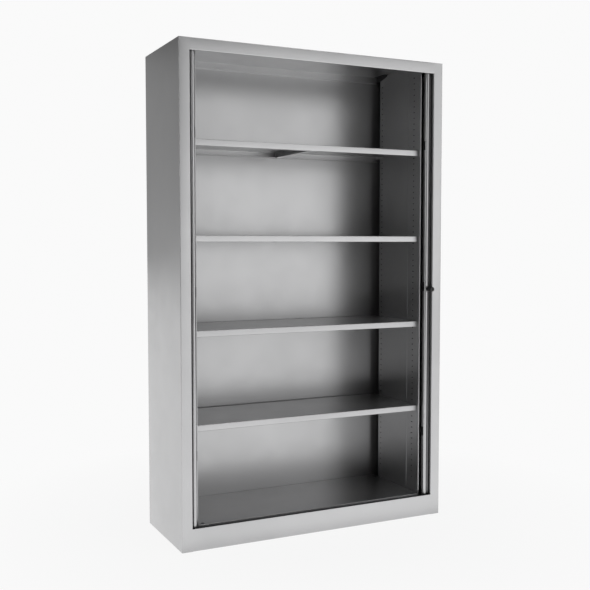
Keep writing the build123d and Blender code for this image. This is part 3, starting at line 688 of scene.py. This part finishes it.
class CABINET_OT_cut_threads(bpy.types.Operator):
    """Winds a thread round the stud of each levelling foot"""
    bl_idname = "cabinet.cut_threads"
    bl_label = "Cut threads"

    def execute(self, context):
        pitch = context.scene.cabinet_fittings.thread_pitch
        feet = (name for name in NODES if name.startswith("foot_") and name != "foot_nuts")
        for foot in sorted(feet):
            low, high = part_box(foot)
            centre = (low + high) / 2
            length = high.z - low.z - THREAD_OFF_ENDS
            tree = Tree(foot + "_thread", **{
                "Turns": (LENGTH, length / pitch), "Length": (LENGTH, length),
                "Radius": (LENGTH, THREAD_R), "Ridge": (LENGTH, RIDGE_R),
                "Start": (PLACE, (centre.x, centre.y, low.z + THREAD_ABOVE_PAD)),
                "Finish": (MATERIAL, finish_on("zinc_steel"))})
            coil = tree.add("GeometryNodeCurveSpiral", THREAD_POINTS, inputs={
                "Rotations": tree["Turns"], "Height": tree["Length"], "Reverse": False,
                "Start Radius": tree["Radius"], "End Radius": tree["Radius"]})
            thread = tree.sweep(coil, tree.circle(RIDGE_SIDES, tree["Ridge"]))
            tree.close(tree.move(thread, Translation=tree["Start"]), tree["Finish"])
            piece = tree.piece(foot + "_thread")
            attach(piece, foot)
        return {"FINISHED"}


# ---- studio ------------------------------------------------------------------------------------

CAMERA_PLACE = Vector((-1.71577, -3.48089, 1.20336))
CAMERA_TURN = (math.radians(90 - 3.305), 0.0, math.radians(-26.072))
CAMERA_LENS, CAMERA_SENSOR = 54.97, 36.0    # millimetres

# Each light's name, place, aim, width and height, and the setting that holds its brightness
LIGHTS = (
    ("key_light", (2.3, -4.4, 2.12), (0, 0, 2.1), (3.6, 2.55), "key"),
    ("right_strip", (3.2, -1.9, 2.3), (0.2, 0, 2.3), (0.5, 2.2), "strips"),
    ("left_strip", (-3.2, -1.0, 2.3), (-0.5, 0, 2.3), (0.5, 2.2), "strips"),
    ("left_front_strip", (-1.9, -2.6, 2.2), (-0.5, 0, 2.1), (0.2, 1.5), "strips"),
    ("overhead_light", (1.2, -2.2, 4.4), (0, 0, 1.0), (1.6, 1.0), "overhead"),
    ("rear_card", (-1.9, 4.3, 2.05), (-0.6, 0, 2.05), (3.4, 1.7), "rear"),
)
FLAG_FEET = (((-4.6, -2.6), (-0.4, -4.6)), ((3.6, -2.7), (3.6, 0.4)))
FLAG_HEIGHT = 3.0

FLOOR_HALF = 40.0
SHADOW_START, SHADOW_END = 0.5, 1.6         # distance from the origin over which shadows fade
SHADOW_GLOW = 0.95                          # share of plain glow where the shadow is deepest
GLOW_EDGE = 0.12                            # depth of the strip where front floor becomes rear
MIRRORED_GLOW, SCATTERED_GLOW = 0.85, 0.5   # share of glow in what the object gets from the floor


def softbox(name, place, aim, size, brightness):
    """A rectangular light, as bright over its whole face as a surface of that brightness."""
    lamp = bpy.data.lights.new(name, "AREA")
    lamp.shape, lamp.size, lamp.size_y = "RECTANGLE", *size
    lamp.energy = brightness * math.pi * size[0] * size[1]
    obj = bpy.data.objects.new(name, lamp)
    obj.location = place
    obj.rotation_euler = (Vector(aim) - Vector(place)).to_track_quat("-Z", "Y").to_euler()
    obj.visible_camera = False
    bpy.context.scene.collection.objects.link(obj)


def sheets(name, corners, material):
    """Flat sheets in one object, one for every four corners."""
    mesh = bpy.data.meshes.new(name)
    mesh.from_pydata(corners, [], [range(first, first + 4) for first in range(0, len(corners), 4)])
    mesh.materials.append(material)
    obj = bpy.data.objects.new(name, mesh)
    bpy.context.scene.collection.objects.link(obj)
    return obj


class CABINET_OT_build_studio(bpy.types.Operator):
    """Adds the pale floor, the surround, the soft lights and the camera"""
    bl_idname = "cabinet.build_studio"
    bl_label = "Build studio"

    def execute(self, context):
        studio = context.scene.cabinet_studio
        self.surround(context.scene, studio)
        self.floor(studio)
        for name, place, aim, size, setting in LIGHTS:
            softbox(name, place, aim, size, getattr(studio, setting))
        self.flag()
        self.camera(context.scene)
        context.scene.view_settings.view_transform = "Standard"
        return {"FINISHED"}

    def surround(self, scene, studio):
        """The backdrop's colour to the eye, and a dim even room to the object."""
        scene.world = bpy.data.worlds.new("surround")
        shader = Shader(scene.world, "ShaderNodeOutputWorld")
        seen = shader.add("ShaderNodeBackground", color=(*studio.backdrop, 1))
        room = shader.add("ShaderNodeBackground", color=(1, 1, 1, 1), strength=studio.ambient)
        to_eye = shader.add("ShaderNodeLightPath").outputs["Is Camera Ray"]
        shader.close(shader.either(to_eye, room.outputs[0], seen.outputs[0]))

    def floor(self, studio):
        """A pale floor that takes a shadow near the object and blends into the backdrop; to the
        object it glows as painted light, brighter in front than behind.
        """
        material = bpy.data.materials.new("pale_floor")
        shader = Shader(material)
        matt = shader.add("ShaderNodeBsdfDiffuse", color=(0.8, 0.8, 0.8, 1)).outputs[0]
        glow = shader.add("ShaderNodeEmission", color=(*studio.backdrop, 1)).outputs[0]
        place = shader.add("ShaderNodeTexCoord").outputs["Object"]
        front = CAD_BOX[0].y
        strength = shader.add("ShaderNodeMapRange", value=shader.split(place)["Y"],
                              from_min=front - GLOW_EDGE, from_max=front,
                              to_min=studio.front_floor, to_max=studio.rear_floor)
        lit = shader.add("ShaderNodeEmission", color=(1, 1, 1, 1),
                         strength=strength.outputs[0]).outputs[0]
        distance = shader.add("ShaderNodeVectorMath", vector=place)
        distance.operation = "LENGTH"
        fade = shader.add("ShaderNodeMapRange", value=distance.outputs["Value"],
                          from_min=SHADOW_START, from_max=SHADOW_END,
                          to_min=SHADOW_GLOW, to_max=1.0)
        seen_by_eye = shader.either(fade.outputs[0], matt, glow)
        path = shader.add("ShaderNodeLightPath").outputs
        seen_by_object = shader.either(path["Is Glossy Ray"],
                                       shader.either(SCATTERED_GLOW, matt, lit),
                                       shader.either(MIRRORED_GLOW, matt, lit))
        shader.close(shader.either(path["Is Camera Ray"], seen_by_object, seen_by_eye))
        half = FLOOR_HALF
        floor = sheets("floor", [(x, y, CAD_BOX[0].z) for x, y in (
            (-half, -half), (half, -half), (half, half), (-half, half))], material)

    def flag(self):
        """Black cards on the floor, which darken the inside of the right side and the stiles."""
        material = bpy.data.materials.new("black_cloth")
        shader = Shader(material)
        cloth = shader.add("ShaderNodeBsdfDiffuse", color=(0.01, 0.01, 0.01, 1))
        shader.close(cloth.outputs[0])
        corners = []
        for left, right in FLAG_FEET:
            corners += [(*left, 0), (*right, 0), (*right, FLAG_HEIGHT), (*left, FLAG_HEIGHT)]
        flag = sheets("black_flag", corners, material)
        flag.visible_camera = False

    def camera(self, scene):
        camera = bpy.data.cameras.new("camera")
        camera.lens, camera.sensor_width = CAMERA_LENS, CAMERA_SENSOR
        eye = bpy.data.objects.new("camera", camera)
        eye.location, eye.rotation_euler = CAMERA_PLACE, CAMERA_TURN
        scene.collection.objects.link(eye)
        scene.camera = eye


# ---- add-on ------------------------------------------------------------------------------------

GROUPS = {"cabinet_paint": PaintSettings, "cabinet_slats": SlatSettings,
          "cabinet_fittings": FittingSettings, "cabinet_studio": StudioSettings}
STEPS = (CABINET_OT_finish_sheet_metal, CABINET_OT_finish_fittings, CABINET_OT_smooth_bends,
         CABINET_OT_hang_roll_fronts, CABINET_OT_rib_the_knob, CABINET_OT_drive_screws,
         CABINET_OT_cut_threads, CABINET_OT_build_studio)


class CABINET_PT_panel(bpy.types.Panel):
    """The cabinet's settings and steps"""
    bl_idname = "CABINET_PT_panel"
    bl_label = "Roll front cabinet"
    bl_space_type = "VIEW_3D"
    bl_region_type = "UI"
    bl_category = "Cabinet"

    def draw(self, context):
        for name in GROUPS:
            group = getattr(context.scene, name)
            box = self.layout.box()
            for setting in group.__annotations__:
                box.prop(group, setting)
        for step in STEPS:
            self.layout.operator(step.bl_idname)


def register():
    for name, group in GROUPS.items():
        bpy.utils.register_class(group)
        setattr(bpy.types.Scene, name, PointerProperty(type=group))
    for item in (*STEPS, CABINET_PT_panel):
        bpy.utils.register_class(item)


def unregister():
    for item in (CABINET_PT_panel, *reversed(STEPS)):
        bpy.utils.unregister_class(item)
    for name, group in GROUPS.items():
        delattr(bpy.types.Scene, name)
        bpy.utils.unregister_class(group)


def main():
    register()
    for step in STEPS:
        family, name = step.bl_idname.split(".")
        getattr(getattr(bpy.ops, family), name)()


if __name__ == "__main__":
    main()
